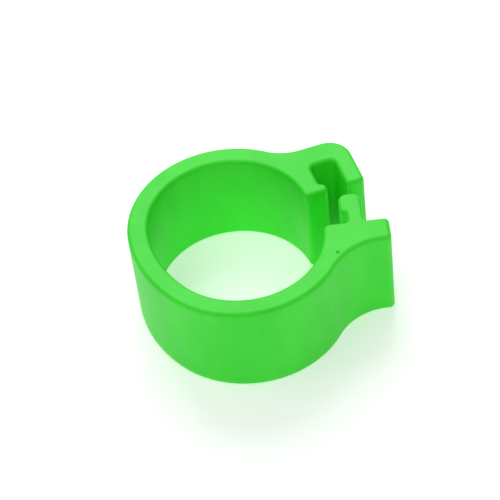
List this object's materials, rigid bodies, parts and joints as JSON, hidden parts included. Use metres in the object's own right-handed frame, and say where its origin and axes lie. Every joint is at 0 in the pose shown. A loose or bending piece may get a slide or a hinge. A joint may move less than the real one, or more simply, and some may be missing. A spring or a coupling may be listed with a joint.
{
  "type": "leg band",
  "caption": "Spring-open plastic leg band for poultry and small livestock, a short C-shaped ring whose barbed tongue snaps into a hooked socket.",
  "frame": {"origin": "centre of the leg bore of the socket half, at the bottom face", "axes": "+Z along the leg, out of the top of the bore; +X from the bore's centre along the socket's end face, out through the lugs; +Y into the socket lug"},
  "size_m": [0.0246, 0.0229, 0.0106],
  "materials": {
    "green_plastic": "bright green moulded polyethylene or nylon, satin, coloured right through"
  },
  "bodies": {
    "socket_half": {"socket_arm": "green_plastic", "socket_end_wall": "green_plastic", "socket_inner_jaw": "green_plastic"},
    "outer_jaw": {"socket_outer_jaw": "green_plastic"},
    "tongue_half": {"tongue_arm": "green_plastic", "tongue_lug": "green_plastic", "tongue_neck": "green_plastic", "tongue_head": "green_plastic"}
  },
  "joints": [
    {"name": "band_flex", "type": "hinge", "parent": "socket_half", "child": "tongue_half", "pos_m": [-0.00848, -0.00291, 0.0053], "axis": [0, 0, -1], "range_deg": [-13.75, 25], "stiffness_Nm_per_rad": 0.38, "deforming": ["tongue_head"]},
    {"name": "jaw_flex", "type": "hinge", "parent": "socket_half", "child": "outer_jaw", "pos_m": [0.0134, 0.00435, 0.0053], "axis": [0, 0, 1], "range_deg": [0, 8], "stiffness_Nm_per_rad": 1.5}
  ]
}
